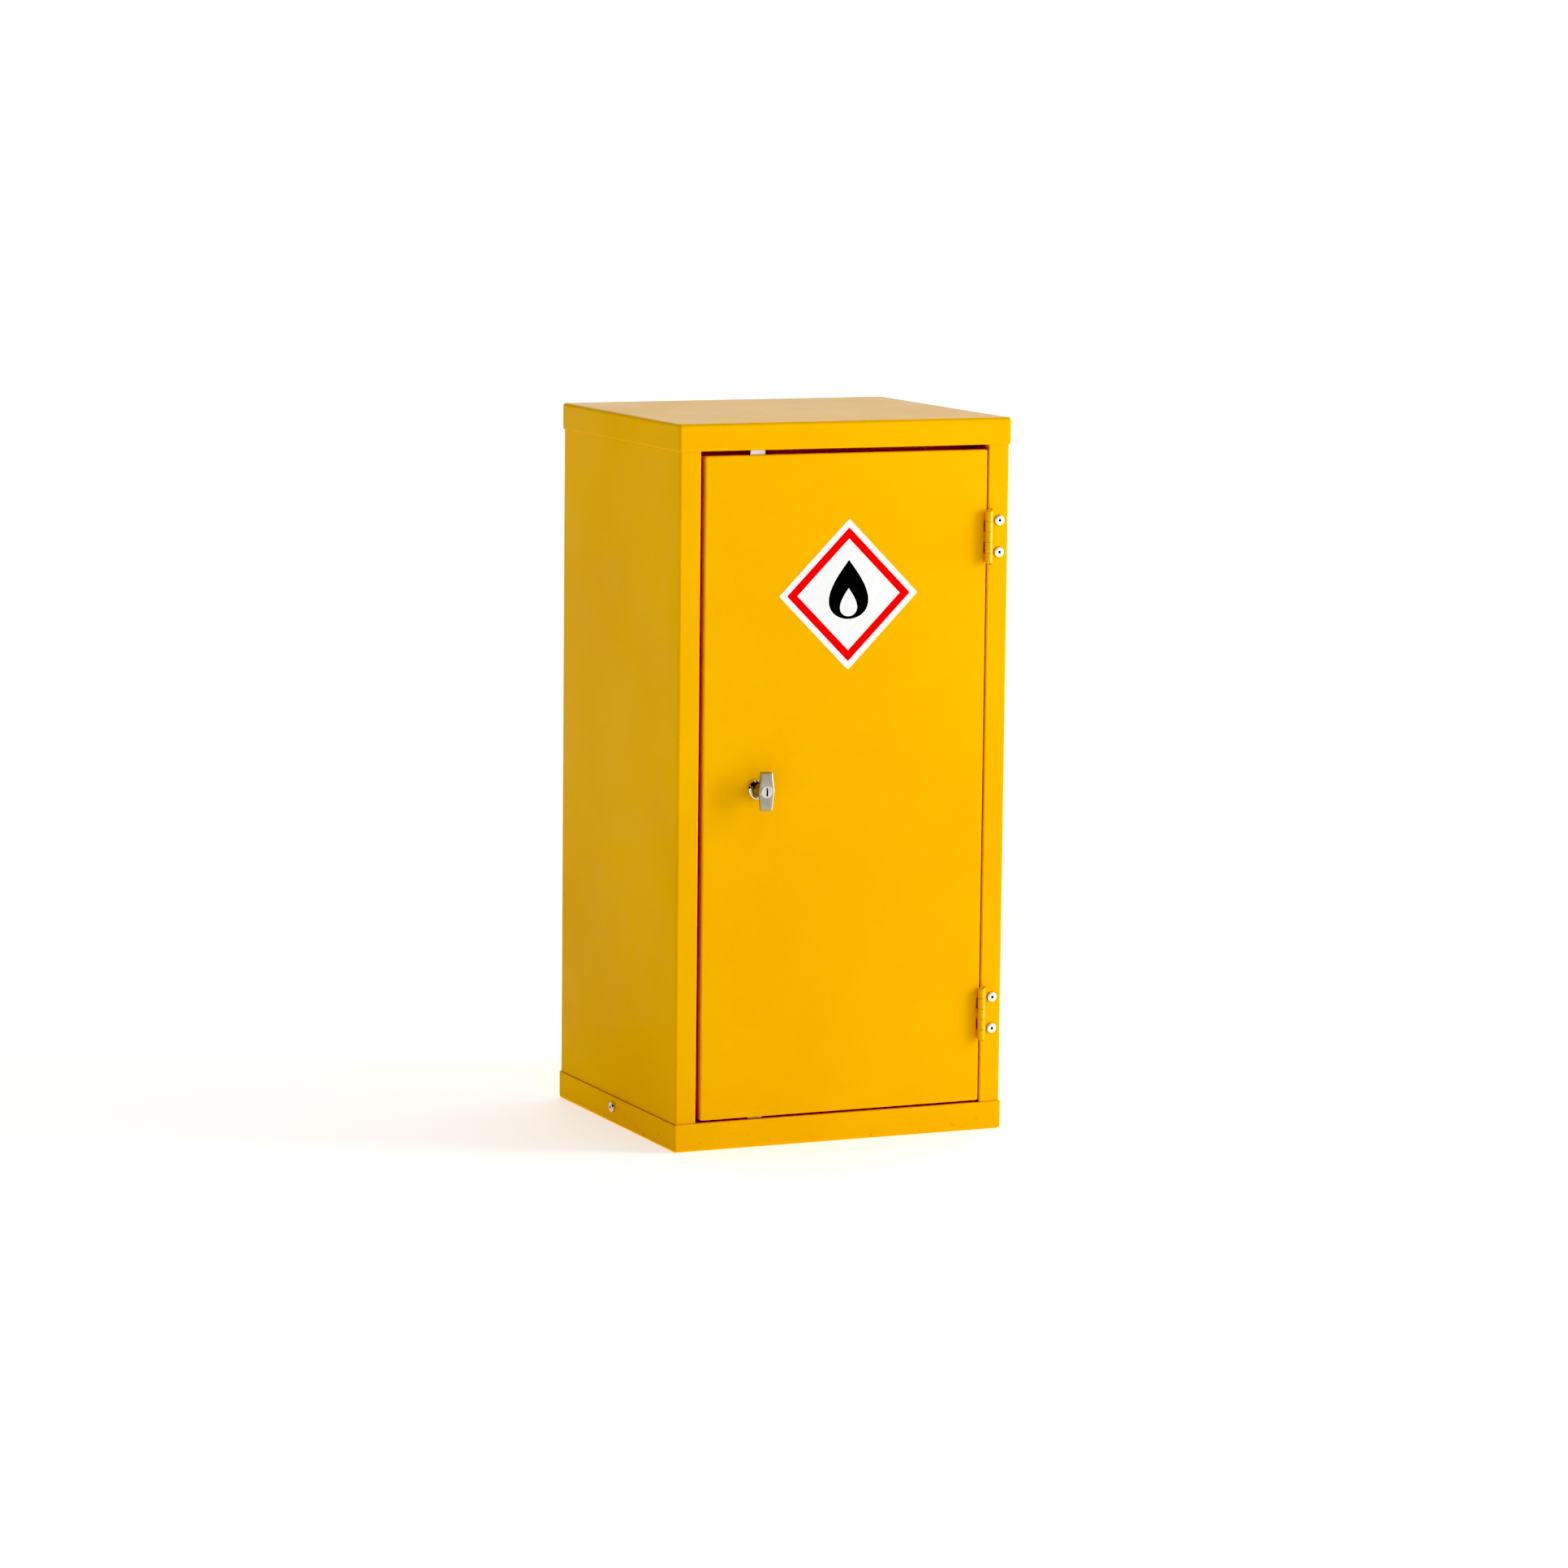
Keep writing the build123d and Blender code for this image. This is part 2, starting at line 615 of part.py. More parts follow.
def t_handle_shape():
    """T-shaped grip with a round neck, bored for the lock barrel."""
    front = -(GRIP_FACE - FRONT)
    back = -(GRIP_BACK - FRONT)
    low = Plane.XY.offset(back)
    mid = Plane.XY.offset(front - GRIP_BEVEL)
    high = Plane.XY.offset(front)
    waist = loft([low * grip_outline(GRIP_BACK_HALF), mid * grip_outline(GRIP_EDGE_HALF)])
    bevel = loft([mid * grip_outline(GRIP_EDGE_HALF), high * grip_outline(GRIP_FRONT_HALF)])
    grip = waist + bevel
    grip = fillet(grip.faces().sort_by(Axis.Z)[0].edges(), 0.8)
    neck = Cylinder(NECK_R, back - NECK_BACK + 0.5, align=(Align.CENTER, Align.CENTER, Align.MIN))
    neck = Pos(0, 0, NECK_BACK) * neck
    shape = grip + neck
    barrel = Pos(0, 0, front - BARREL_DEEP) * Cylinder(
        BARREL_R + PIN_FIT, 20, align=(Align.CENTER, Align.CENTER, Align.MIN)
    )
    socket = Box(SPINDLE, SPINDLE, 14)
    return on_axis(shape - barrel - socket)


def barrel_shape():
    """Key cylinder with a stepped key slot in its front face."""
    front = -(GRIP_FACE - FRONT) + 0.3
    plug = Pos(0, 0, front - BARREL_DEEP + 0.5) * Cylinder(
        BARREL_R, BARREL_DEEP - 0.5, align=(Align.CENTER, Align.CENTER, Align.MIN)
    )
    plug = chamfer(plug.edges().sort_by(Axis.Z)[-1], 0.35)
    key = Pos(-0.15, 2.5) * Rectangle(1.4, 3.2)
    key = key + Pos(0.2, 0.0) * Rectangle(1.4, 3.2)
    key = key + Pos(0.05, -2.5) * Rectangle(1.5, 3.2)
    key = key + Pos(1.0, -0.3) * Rectangle(0.7, 0.5)
    slot = Pos(0, 0, front - 7) * extrude(key, 10)
    return on_axis(plug - slot)


def spindle_shape():
    """Square spindle with turned corners, tapped for the cam screw."""
    back = FRONT - (CAM_FRONT + CAM_THICK)
    bar = Pos(0, 0, back) * Box(
        SPINDLE, SPINDLE, 7.0 - back, align=(Align.CENTER, Align.CENTER, Align.MIN)
    )
    turned = Cylinder(SPINDLE_R, 60)
    tapped = Pos(0, 0, back) * Cylinder(2.1, 20)
    return on_axis((bar & turned) - tapped)


def cam_shape():
    """Drive plate with a round eye at each end of its diagonal."""
    plate = SlotCenterToCenter(2 * PIN_CIRCLE, CAM_WIDE) + Circle(CAM_HUB_R)
    plate = Rot(0, 0, 45) * plate
    plate = plate - Rectangle(SPINDLE, SPINDLE)
    back = FRONT - (CAM_FRONT + CAM_THICK)
    return on_axis(Pos(0, 0, back) * extrude(plate, CAM_THICK))


def cam_pin(turn):
    """Headed drive pin standing on the back of the cam."""
    x = LOCK_X + turn * PIN_CIRCLE * math.cos(math.radians(45))
    z = LOCK_Z + turn * PIN_CIRCLE * math.sin(math.radians(45))
    back = CAM_FRONT + CAM_THICK
    shank = rod_y(x, z, back, YOKE_FRONT + ROD_T + 0.6, CAM_PIN_R)
    head = rod_y(x, z, YOKE_FRONT + ROD_T + 0.5, YOKE_FRONT + ROD_T + 1.7, 4.0)
    head = fillet(head.edges().sort_by(Axis.Y)[-1], 0.5)
    return shank + head


def cam_screw_shape():
    """Hexagon-head screw that clamps the cam on the spindle."""
    back = CAM_FRONT + CAM_THICK
    head = hex_y(LOCK_X, LOCK_Z, back, back + 2.8, 7.2)
    shank = rod_y(LOCK_X, LOCK_Z, back - 8.5, back + 0.5, 2.0)
    return head + shank


lock_nut = hex_y(LOCK_X, LOCK_Z, SKIN_BACK, SKIN_BACK + LOCK_NUT_THICK, LOCK_NUT_ACROSS)
lock_nut = lock_nut - rod_y(LOCK_X, LOCK_Z, SKIN_BACK - 1, SKIN_BACK + 5, SLEEVE_R + PIN_FIT)
cam_pins = Compound(children=[cam_pin(-1), cam_pin(1)])


# ---------------------------------------------------------------------------
# Locking rods: flat bars with a joggle and a yoke that the cam pins drive
# ---------------------------------------------------------------------------

def locking_rod(reach):
    """Rod that runs up from the lock; reach is the tip's height above the axis."""
    side = [
        (YOKE_FRONT, -20), (YOKE_FRONT, 30), (ROD_FRONT, 38), (ROD_FRONT, reach + 1),
        (ROD_FRONT + ROD_T, reach + 1), (ROD_FRONT + ROD_T, 39.2),
        (YOKE_FRONT + ROD_T, 31.2), (YOKE_FRONT + ROD_T, -20),
    ]
    strip = extrude(Plane.YZ * Polygon(*side, align=None), 40, both=True)
    left = -ROD_OFFSET - ROD_W / 2
    right = -ROD_OFFSET + ROD_W / 2
    outline = [
        (-5.2, -15.5), (-5.2, 17), (right, 17), (right, reach - 0.5), (right - 0.5, reach),
        (left + 1.2, reach), (left, reach - 5), (left, 28), (-19.7, 17), (-19.7, -15.5),
    ]
    shape = extrude(Plane.XZ * Polygon(*outline, align=None), 200, both=True)
    rod = strip & shape
    slot = SlotOverall(10.4, 6.2)
    slot = extrude(Plane.XZ * Pos(-12.1, -10) * slot, 200, both=True)
    return rod - slot


TOP_REACH = HEIGHT - LID_FLANGE - ROD_GAP - LOCK_Z
BOTTOM_REACH = LOCK_Z - BASE_FLANGE - ROD_GAP
top_rod = Pos(LOCK_X, 0, LOCK_Z) * locking_rod(TOP_REACH)
bottom_rod = Pos(LOCK_X, 0, LOCK_Z) * Rot(0, 180, 0) * locking_rod(BOTTOM_REACH)


def rod_guide(x, z):
    """Nylon guide block with a window for the flat rod."""
    guide = block(
        x - GUIDE_HALF, x + GUIDE_HALF, SKIN_BACK, SKIN_BACK + GUIDE_THICK,
        z - GUIDE_TALL / 2, z + GUIDE_TALL / 2,
    )
    guide = fillet(guide.edges().filter_by(Axis.Y), 2.0)
    guide = guide - block(
        x - ROD_W / 2 - 0.35, x + ROD_W / 2 + 0.35,
        ROD_FRONT - 0.35, ROD_FRONT + ROD_T + 0.35, z - GUIDE_TALL, z + GUIDE_TALL,
    )
    for side in (-GUIDE_STUD, GUIDE_STUD):
        bore_end = SKIN_BACK + GUIDE_THICK + 1
        guide = guide - rod_y(x + side, z, SKIN_BACK - 1, bore_end, STUD_R + 0.2)
    return guide


def guide_fixing(x, z):
    """Weld stud on the skin with its nut on the guide."""
    seat = SKIN_BACK + GUIDE_THICK
    stud = rod_y(x, z, SKIN_BACK, seat + 3.5, STUD_R)
    nut = hex_y(x, z, seat, seat + 2.4, 5.5)
    return stud + nut


GUIDE_SPOTS = ((LOWER_ROD_X, LOCK_Z - GUIDE_OFFSET), (UPPER_ROD_X, LOCK_Z + GUIDE_OFFSET))
guide_fixings = Compound(children=[
    guide_fixing(x + side, z)
    for x, z in GUIDE_SPOTS
    for side in (-GUIDE_STUD, GUIDE_STUD)
])

# ---------------------------------------------------------------------------
# Label: a thin square sheet stuck on the door, standing on its corner
# ---------------------------------------------------------------------------

label = Box(LABEL_SIDE, LABEL_T, LABEL_SIDE)
label = fillet(label.edges().filter_by(Axis.Y), LABEL_CORNER)
label = Pos(LABEL_X, FRONT - LABEL_T / 2, LABEL_Z) * Rot(0, 45, 0) * label

# ---------------------------------------------------------------------------
# One file for each node
# ---------------------------------------------------------------------------

save(lid, "lid")
save(base_tray, "base_tray")
save(left_side, "left_side_panel")
save(right_side, "right_side_panel")
save(back_panel, "back_panel")
save(top_stop, "top_door_stop")
save(base_screws, "base_screws")
save(base_nuts, "base_nuts")
save(upright(-1, UPRIGHT_Y[0]), "shelf_upright_left_front")
save(upright(-1, UPRIGHT_Y[1]), "shelf_upright_left_rear")
save(upright(1, UPRIGHT_Y[0]), "shelf_upright_right_front")
save(upright(1, UPRIGHT_Y[1]), "shelf_upright_right_rear")
save(shelf_clips, "shelf_clips")
save(shelf, "shelf")
save(sump_tray, "sump_tray")
save(door_skin, "door_skin")
save(door_stiffener, "door_stiffener")
save(door_buffers, "door_buffers")
save(door_leaf(UPPER_HINGE_Z), "hinge_door_leaf_upper")
save(door_leaf(LOWER_HINGE_Z), "hinge_door_leaf_lower")
save(frame_leaf(UPPER_HINGE_Z), "hinge_frame_leaf_upper")
save(frame_leaf(LOWER_HINGE_Z), "hinge_frame_leaf_lower")
save(hinge_pin(UPPER_HINGE_Z), "hinge_pin_upper")
save(hinge_pin(LOWER_HINGE_Z), "hinge_pin_lower")
save(hinge_rivets, "hinge_rivets")
save(rosette_shape(), "lock_rosette")
save(lock_nut, "lock_nut")
save(t_handle_shape(), "t_handle")
save(barrel_shape(), "lock_barrel")
save(spindle_shape(), "handle_spindle")
save(cam_shape(), "lock_cam")
save(cam_pins, "cam_pins")
save(cam_screw_shape(), "cam_screw")
save(top_rod, "top_rod")
save(bottom_rod, "bottom_rod")
save(rod_guide(*GUIDE_SPOTS[0]), "rod_guide_lower")
save(rod_guide(*GUIDE_SPOTS[1]), "rod_guide_upper")
save(guide_fixings, "rod_guide_fixings")
save(label, "label")
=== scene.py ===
import json
import math

import bpy
from mathutils import Matrix, Vector


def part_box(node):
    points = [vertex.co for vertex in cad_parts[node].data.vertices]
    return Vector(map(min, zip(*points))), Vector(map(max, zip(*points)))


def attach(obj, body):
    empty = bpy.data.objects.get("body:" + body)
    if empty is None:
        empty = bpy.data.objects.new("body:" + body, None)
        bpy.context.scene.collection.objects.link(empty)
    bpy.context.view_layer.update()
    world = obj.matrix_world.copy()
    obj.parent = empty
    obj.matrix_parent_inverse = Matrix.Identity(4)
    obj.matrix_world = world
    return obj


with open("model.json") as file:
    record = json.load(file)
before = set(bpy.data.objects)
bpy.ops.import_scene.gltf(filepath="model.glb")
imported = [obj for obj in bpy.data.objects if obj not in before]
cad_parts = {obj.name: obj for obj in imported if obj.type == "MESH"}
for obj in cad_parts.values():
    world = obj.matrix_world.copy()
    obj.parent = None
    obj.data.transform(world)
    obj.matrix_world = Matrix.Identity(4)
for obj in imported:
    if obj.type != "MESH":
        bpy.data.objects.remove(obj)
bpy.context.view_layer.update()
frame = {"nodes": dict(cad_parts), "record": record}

# ---------------------------------------------------------------------------
# Small helpers for node materials. All lengths are metres.
# ---------------------------------------------------------------------------


class Shader:
    """One node material with short calls for the nodes it uses."""

    def __init__(self, name):
        self.mat = bpy.data.materials.new(name)
        self.mat.use_nodes = True
        self.tree = self.mat.node_tree
        self.tree.nodes.clear()
        self.out = self.tree.nodes.new("ShaderNodeOutputMaterial")
        self.bsdf = self.tree.nodes.new("ShaderNodeBsdfPrincipled")
        self.link(self.bsdf.outputs[0], self.out.inputs["Surface"])
        self.place = self.tree.nodes.new("ShaderNodeTexCoord").outputs["Object"]

    def link(self, a, b):
        self.tree.links.new(a, b)

    def put(self, socket, value):
        """Links a node output or sets a constant on a socket."""
        if isinstance(value, bpy.types.NodeSocket):
            self.link(value, socket)
        elif value is not None:
            socket.default_value = value

    def stretch(self, scale):
        """Object coordinates with each axis scaled, for grain and hairlines."""
        node = self.tree.nodes.new("ShaderNodeMapping")
        node.inputs["Scale"].default_value = scale
        self.link(self.place, node.inputs["Vector"])
        return node.outputs[0]

    def noise(self, scale, detail, rough=0.5, vector=None):
        """Soft noise from 0 to 1; scale is in waves per metre."""
        node = self.tree.nodes.new("ShaderNodeTexNoise")
        node.inputs["Scale"].default_value = scale
        node.inputs["Detail"].default_value = detail
        node.inputs["Roughness"].default_value = rough
        self.link(vector or self.place, node.inputs["Vector"])
        return node.outputs["Fac"]

    def cells(self, scale, output="Distance"):
        """Voronoi cells: the distance to a cell's point, or the cell's own colour."""
        node = self.tree.nodes.new("ShaderNodeTexVoronoi")
        node.inputs["Scale"].default_value = scale
        self.link(self.place, node.inputs["Vector"])
        return node.outputs[output]

    def math(self, kind, a, b):
        node = self.tree.nodes.new("ShaderNodeMath")
        node.operation = kind
        self.put(node.inputs[0], a)
        self.put(node.inputs[1], b)
        return node.outputs[0]

    def span(self, value, low, high, to_low=0.0, to_high=1.0):
        """Maps low..high to to_low..to_high, smoothly and clamped."""
        node = self.tree.nodes.new("ShaderNodeMapRange")
        node.interpolation_type = "SMOOTHSTEP"
        self.put(node.inputs["Value"], value)
        node.inputs["From Min"].default_value = low
        node.inputs["From Max"].default_value = high
        node.inputs["To Min"].default_value = to_low
        node.inputs["To Max"].default_value = to_high
        return node.outputs["Result"]

    def mix(self, factor, a, b):
        """Mixes two colours, each a node output or a red, green, blue triple."""
        node = self.tree.nodes.new("ShaderNodeMix")
        node.data_type = "RGBA"
        self.put(node.inputs["Factor"], factor)
        self.put(node.inputs[6], a if isinstance(a, bpy.types.NodeSocket) else (*a, 1.0))
        self.put(node.inputs[7], b if isinstance(b, bpy.types.NodeSocket) else (*b, 1.0))
        return node.outputs[2]

    def axes(self):
        """The object coordinates as separate x, y and z."""
        node = self.tree.nodes.new("ShaderNodeSeparateXYZ")
        self.link(self.place, node.inputs[0])
        return node.outputs

    def distance(self, point, scale=(1.0, 1.0, 1.0)):
        """Distance to a point of the frame, with each axis weighted."""
        node = self.tree.nodes.new("ShaderNodeMapping")
        node.inputs["Scale"].default_value = scale
        node.inputs["Location"].default_value = [-p * s for p, s in zip(point, scale)]
        self.link(self.place, node.inputs["Vector"])
        length = self.tree.nodes.new("ShaderNodeVectorMath")
        length.operation = "LENGTH"
        self.link(node.outputs[0], length.inputs[0])
        return length.outputs["Value"]

    def bump(self, height, distance, strength, normal=None):
        """A bumped normal; distance is the relief, in metres, of heights 0 to 1."""
        node = self.tree.nodes.new("ShaderNodeBump")
        node.inputs["Strength"].default_value = strength
        node.inputs["Distance"].default_value = distance
        self.put(node.inputs["Height"], height)
        self.put(node.inputs["Normal"], normal)
        return node.outputs[0]

    def finish(self, colour, rough, normal=None, **constants):
        """Fills the main sockets; constants are set directly, with _ for a space."""
        inputs = self.bsdf.inputs
        self.put(inputs["Base Color"], colour)
        self.put(inputs["Roughness"], rough)
        if normal is not None:
            self.link(normal, inputs["Normal"])
        for name, value in constants.items():
            inputs[name.replace("_", " ")].default_value = value
        return self.mat


# ---------------------------------------------------------------------------
# Materials
# ---------------------------------------------------------------------------

YELLOW = (0.965, 0.525, 0.0)
YELLOW_DEEP = (0.925, 0.480, 0.0)
YELLOW_PALE = (0.985, 0.555, 0.002)
SCUFF_GREY = (0.30, 0.25, 0.18)
HAND_BROWN = (0.78, 0.36, 0.01)
RIVET_SHADE = (0.035, 0.033, 0.030)
BODY_GLOSS = 0.13
HINGE_GLOSS = 0.85

DOOR_FACE_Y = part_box("door_skin")[0].y
rivet_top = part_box("hinge_rivets")[0].y
# depths where the rivets' painted shade starts and where it is full
RIVET_SHADE_Y = (rivet_top + 0.0007, rivet_top + 0.0018)    # from bright to dark
grip_low, grip_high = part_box("t_handle")
HANDLE_SPOT = ((grip_low.x + grip_high.x) / 2, DOOR_FACE_Y, (grip_low.z + grip_high.z) / 2)
HAND_REACH = (0.020, 0.085)                # hand marks fade out between these radii
SCUFF_REACH = (0.004, 0.022)               # scuffs fade out between these heights


def powder_coat(name, gloss):
    """Smooth semi-gloss powder coat: orange peel, slow colour drift, light use marks."""
    s = Shader(name)
    z = s.axes()[2]
    drift = s.noise(5.0, 3.0, 0.55)
    fine = s.noise(260.0, 2.0, 0.5)
    colour = s.mix(s.span(drift, 0.3, 0.7), YELLOW_DEEP, YELLOW)
    colour = s.mix(s.span(fine, 0.45, 0.75, 0.0, 0.12), colour, YELLOW_PALE)
    # scuffs low on the base and faint hand marks round the handle
    low = s.span(z, *SCUFF_REACH, 1.0, 0.0)
    chips = s.span(s.noise(190.0, 4.0, 0.65), 0.62, 0.70)
    wear = s.math("MULTIPLY", low, chips)
    colour = s.mix(s.math("MULTIPLY", wear, 0.55), colour, SCUFF_GREY)
    hand = s.span(s.distance(HANDLE_SPOT, (1.0, 1.0, 0.8)), *HAND_REACH, 1.0, 0.0)
    smear = s.span(s.noise(38.0, 5.0, 0.7), 0.42, 0.68)
    touched = s.math("MULTIPLY", hand, smear)
    colour = s.mix(s.math("MULTIPLY", touched, 0.10), colour, HAND_BROWN)
    rough = s.span(s.noise(14.0, 4.0, 0.6), 0.3, 0.7, 0.285, 0.33)
    rough = s.math("ADD", rough, s.math("MULTIPLY", touched, 0.10))
    rough = s.math("ADD", rough, s.math("MULTIPLY", wear, 0.30))
    peel = s.bump(s.noise(420.0, 1.5, 0.4), 0.00001, 0.06)
    wave = s.bump(s.noise(4.0, 0.0, 0.4), 0.0004, 0.10, peel)
    return s.finish(colour, rough, wave, IOR=1.5, Specular_IOR_Level=gloss)


def zinc(name, dark, light, rough_low, rough_high):
    """Zinc plating with faint rolling lines and a cloudy passivated tone."""
    s = Shader(name)
    cloud = s.noise(70.0, 4.0, 0.6)
    lines = s.noise(900.0, 2.0, 0.5, s.stretch((1.0, 1.0, 0.03)))
    colour = s.mix(s.span(cloud, 0.3, 0.7), dark, light)
    rough = s.span(lines, 0.3, 0.7, rough_low, rough_high)
    rough = s.math("ADD", rough, s.span(cloud, 0.4, 0.8, 0.0, 0.06))
    normal = s.bump(lines, 0.00003, 0.35)
    return s.finish(colour, rough, normal, Metallic=1.0, IOR=1.5)


def galvanised():
    """Hot-dip sheet: spangle cells with their own tone and gloss."""
    s = Shader("galvanised_sheet")
    cell = s.cells(115.0, "Color")
    split = s.tree.nodes.new("ShaderNodeSeparateColor")
    s.link(cell, split.inputs[0])
    tone = split.outputs[0]
    dust = s.noise(26.0, 4.0, 0.6)
    colour = s.mix(tone, (0.50, 0.52, 0.54), (0.68, 0.70, 0.72))
    colour = s.mix(s.span(dust, 0.5, 0.8, 0.0, 0.25), colour, (0.42, 0.42, 0.41))
    rough = s.span(split.outputs[1], 0.0, 1.0, 0.30, 0.46)
    normal = s.bump(s.cells(115.0), 0.00004, 0.3)
    return s.finish(colour, rough, normal, Metallic=1.0, IOR=1.5)


def chrome():
    """Polished chrome with hairlines and faint haze."""
    s = Shader("polished_chrome")
    haze = s.noise(160.0, 3.0, 0.6)
    hair = s.noise(2200.0, 1.0, 0.4, s.stretch((1.0, 1.0, 0.08)))
    colour = s.mix(haze, (0.70, 0.69, 0.67), (0.80, 0.79, 0.77))
    rough = s.span(haze, 0.3, 0.8, 0.10, 0.18)
    return s.finish(colour, rough, s.bump(hair, 0.00001, 0.2), Metallic=1.0, IOR=1.5)


def satin(name, dark, light, low, high):
    """Satin nickel over a die casting: vertical graining and soft mottling."""
    s = Shader(name)
    grain = s.noise(2600.0, 3.0, 0.55, s.stretch((1.0, 1.0, 0.05)))
    mottle = s.noise(120.0, 3.0, 0.5)
    colour = s.mix(s.span(mottle, 0.3, 0.7), dark, light)
    rough = s.span(grain, 0.3, 0.7, low, high)
    rough = s.math("ADD", rough, s.span(mottle, 0.45, 0.75, 0.0, 0.05))
    return s.finish(colour, rough, s.bump(grain, 0.00002, 0.4), Metallic=1.0, IOR=1.5)


def aluminium():
    """Bare aluminium rivets: oxide freckles; darker by depth into the stem hole, partly the mandrel's
    own darker tone and partly painted shade, and painted shade at the head's foot.
    """
    s = Shader("rivet_aluminium")
    freckle = s.noise(650.0, 4.0, 0.6)
    colour = s.mix(s.span(freckle, 0.35, 0.7), (0.82, 0.81, 0.80), (0.93, 0.92, 0.91))
    # painted shade by depth: in the stem hole, on top of the mandrel's darker tone, and at the head's
    # foot
    deep = s.span(s.axes()[1], *RIVET_SHADE_Y)
    colour = s.mix(deep, colour, RIVET_SHADE)
    rough = s.span(s.noise(380.0, 3.0, 0.6), 0.3, 0.7, 0.34, 0.46)
    return s.finish(colour, rough, s.bump(freckle, 0.00003, 0.35), Metallic=1.0, IOR=1.5)


def rubber():
    """Matt black rubber with a fine grain."""
    s = Shader("black_rubber")
    grain = s.noise(1400.0, 3.0, 0.6)
    colour = s.mix(s.span(s.noise(90.0, 3.0), 0.3, 0.7), (0.018, 0.018, 0.018), (0.035, 0.034, 0.033))
    rough = s.span(grain, 0.3, 0.7, 0.70, 0.86)
    return s.finish(colour, rough, s.bump(grain, 0.00004, 0.5), IOR=1.5)


def nylon():
    """Natural nylon, slightly cloudy."""
    s = Shader("natural_nylon")
    cloud = s.noise(120.0, 3.0, 0.6)
    colour = s.mix(s.span(cloud, 0.3, 0.7), (0.70, 0.67, 0.58), (0.78, 0.76, 0.69))
    rough = s.span(s.noise(700.0, 2.0), 0.3, 0.7, 0.38, 0.52)
    return s.finish(colour, rough, s.bump(cloud, 0.00004, 0.3), IOR=1.53)


def vinyl(name, dark, light):
    """Printed vinyl: slight unevenness of ink and a calm, glossy film."""
    s = Shader(name)
    ink = s.noise(480.0, 3.0, 0.6)
    colour = s.mix(s.span(ink, 0.3, 0.7), dark, light)
    rough = s.span(s.noise(45.0, 4.0, 0.6), 0.3, 0.7, 0.29, 0.37)
    film = s.bump(s.noise(130.0, 1.5, 0.4), 0.00004, 0.25)
    return s.finish(colour, rough, film, IOR=1.46)


LOOKS = {
    "yellow_paint": powder_coat("powder_coat_yellow", BODY_GLOSS),
    "zinc_plate": zinc("zinc_plate", (0.52, 0.53, 0.54), (0.66, 0.66, 0.65), 0.28, 0.42),
    "bright_zinc": zinc("bright_zinc", (0.74, 0.74, 0.73), (0.86, 0.86, 0.85), 0.30, 0.42),
    "galvanised_sheet": galvanised(),
    "screw_steel": zinc("screw_nickel", (0.66, 0.65, 0.63), (0.80, 0.79, 0.77), 0.15, 0.20),
    "rivet_aluminium": aluminium(),
    "polished_chrome": chrome(),
    "satin_nickel": satin("satin_nickel", (0.39, 0.358, 0.298), (0.462, 0.427, 0.365), 0.32, 0.44),
    "barrel_nickel": satin("barrel_nickel", (0.60, 0.57, 0.51), (0.70, 0.67, 0.61), 0.285, 0.35),
    "black_rubber": rubber(),
    "white_nylon": nylon(),
    "label_vinyl": vinyl("label_white", (0.90, 0.90, 0.90), (0.95, 0.95, 0.95)),
}
HINGE_PAINT = powder_coat("powder_coat_hinges", HINGE_GLOSS)
RED_INK = vinyl("label_red_ink", (0.86, 0.003, 0.003), (0.94, 0.006, 0.005))
BLACK_INK = vinyl("label_black_ink", (0.006, 0.006, 0.007), (0.012, 0.012, 0.013))

for part in frame["record"]["subparts"]:
    node = frame["nodes"][part["node"]]
    look = LOOKS[part["material_slot"]]
    if "_leaf_" in part["node"]:
        look = HINGE_PAINT
    if not node.material_slots:
        node.data.materials.append(look)
    for slot in node.material_slots:
        slot.material = look

# ---------------------------------------------------------------------------
# Label print: red border and a plain drop, as ink films on the vinyl
# ---------------------------------------------------------------------------

label_low, label_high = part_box("label")
LABEL_MID = (label_low + label_high) / 2
LABEL_SIDE = 0.105
LABEL_HALF = LABEL_SIDE / math.sqrt(2)     # centre to corner, as if the corners were sharp
INK_T = 0.00004                            # thickness of the ink film
INK_Y = label_low.y - INK_T                # middle of the film, just clear of the sheet
BORDER_OUTER = 0.883                       # border edges, as parts of LABEL_HALF
BORDER_INNER = 0.740
DROP_POINTS = 72
DROP_TAPER = 1.2                           # higher is a slimmer tip


def film(name, loops, look):
    """A thin flat piece on the label; the first loop is the outline, the rest are holes."""
    curve = bpy.data.curves.new(name, "CURVE")
    curve.dimensions = "2D"
    curve.fill_mode = "BOTH"
    curve.extrude = INK_T / 2
    for points in loops:
        line = curve.splines.new("POLY")
        line.points.add(len(points) - 1)
        for spot, (px, pz) in zip(line.points, points):
            spot.co = (px, pz, 0.0, 1.0)
        line.use_cyclic_u = True
    helper = bpy.data.objects.new(name + "_curve", curve)
    bpy.context.scene.collection.objects.link(helper)
    bpy.context.view_layer.update()
    ready = bpy.context.evaluated_depsgraph_get()
    mesh = bpy.data.meshes.new_from_object(helper.evaluated_get(ready))
    bpy.data.objects.remove(helper)
    mesh.name = name
    upright = Matrix.Rotation(math.radians(90), 4, "X")
    mesh.transform(Matrix.Translation((LABEL_MID.x, INK_Y, LABEL_MID.z)) @ upright)
    mesh.materials.clear()
    mesh.materials.append(look)
    piece = bpy.data.objects.new(name, mesh)
    bpy.context.scene.collection.objects.link(piece)
    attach(piece, "door")


def diamond(half):
    """A square standing on its corner; half is the distance from centre to corner."""
    return [(half, 0.0), (0.0, half), (-half, 0.0), (0.0, -half)]


def drop(wide, tall, middle):
    """Plain symmetrical drop, tip up: wide and tall are half sizes before tapering."""
    points = []
    for k in range(DROP_POINTS):
        turn = 2 * math.pi * k / DROP_POINTS
        taper = math.sin(turn / 2) ** DROP_TAPER
        points.append((wide * math.sin(turn) * taper, middle + tall * math.cos(turn)))
    return points


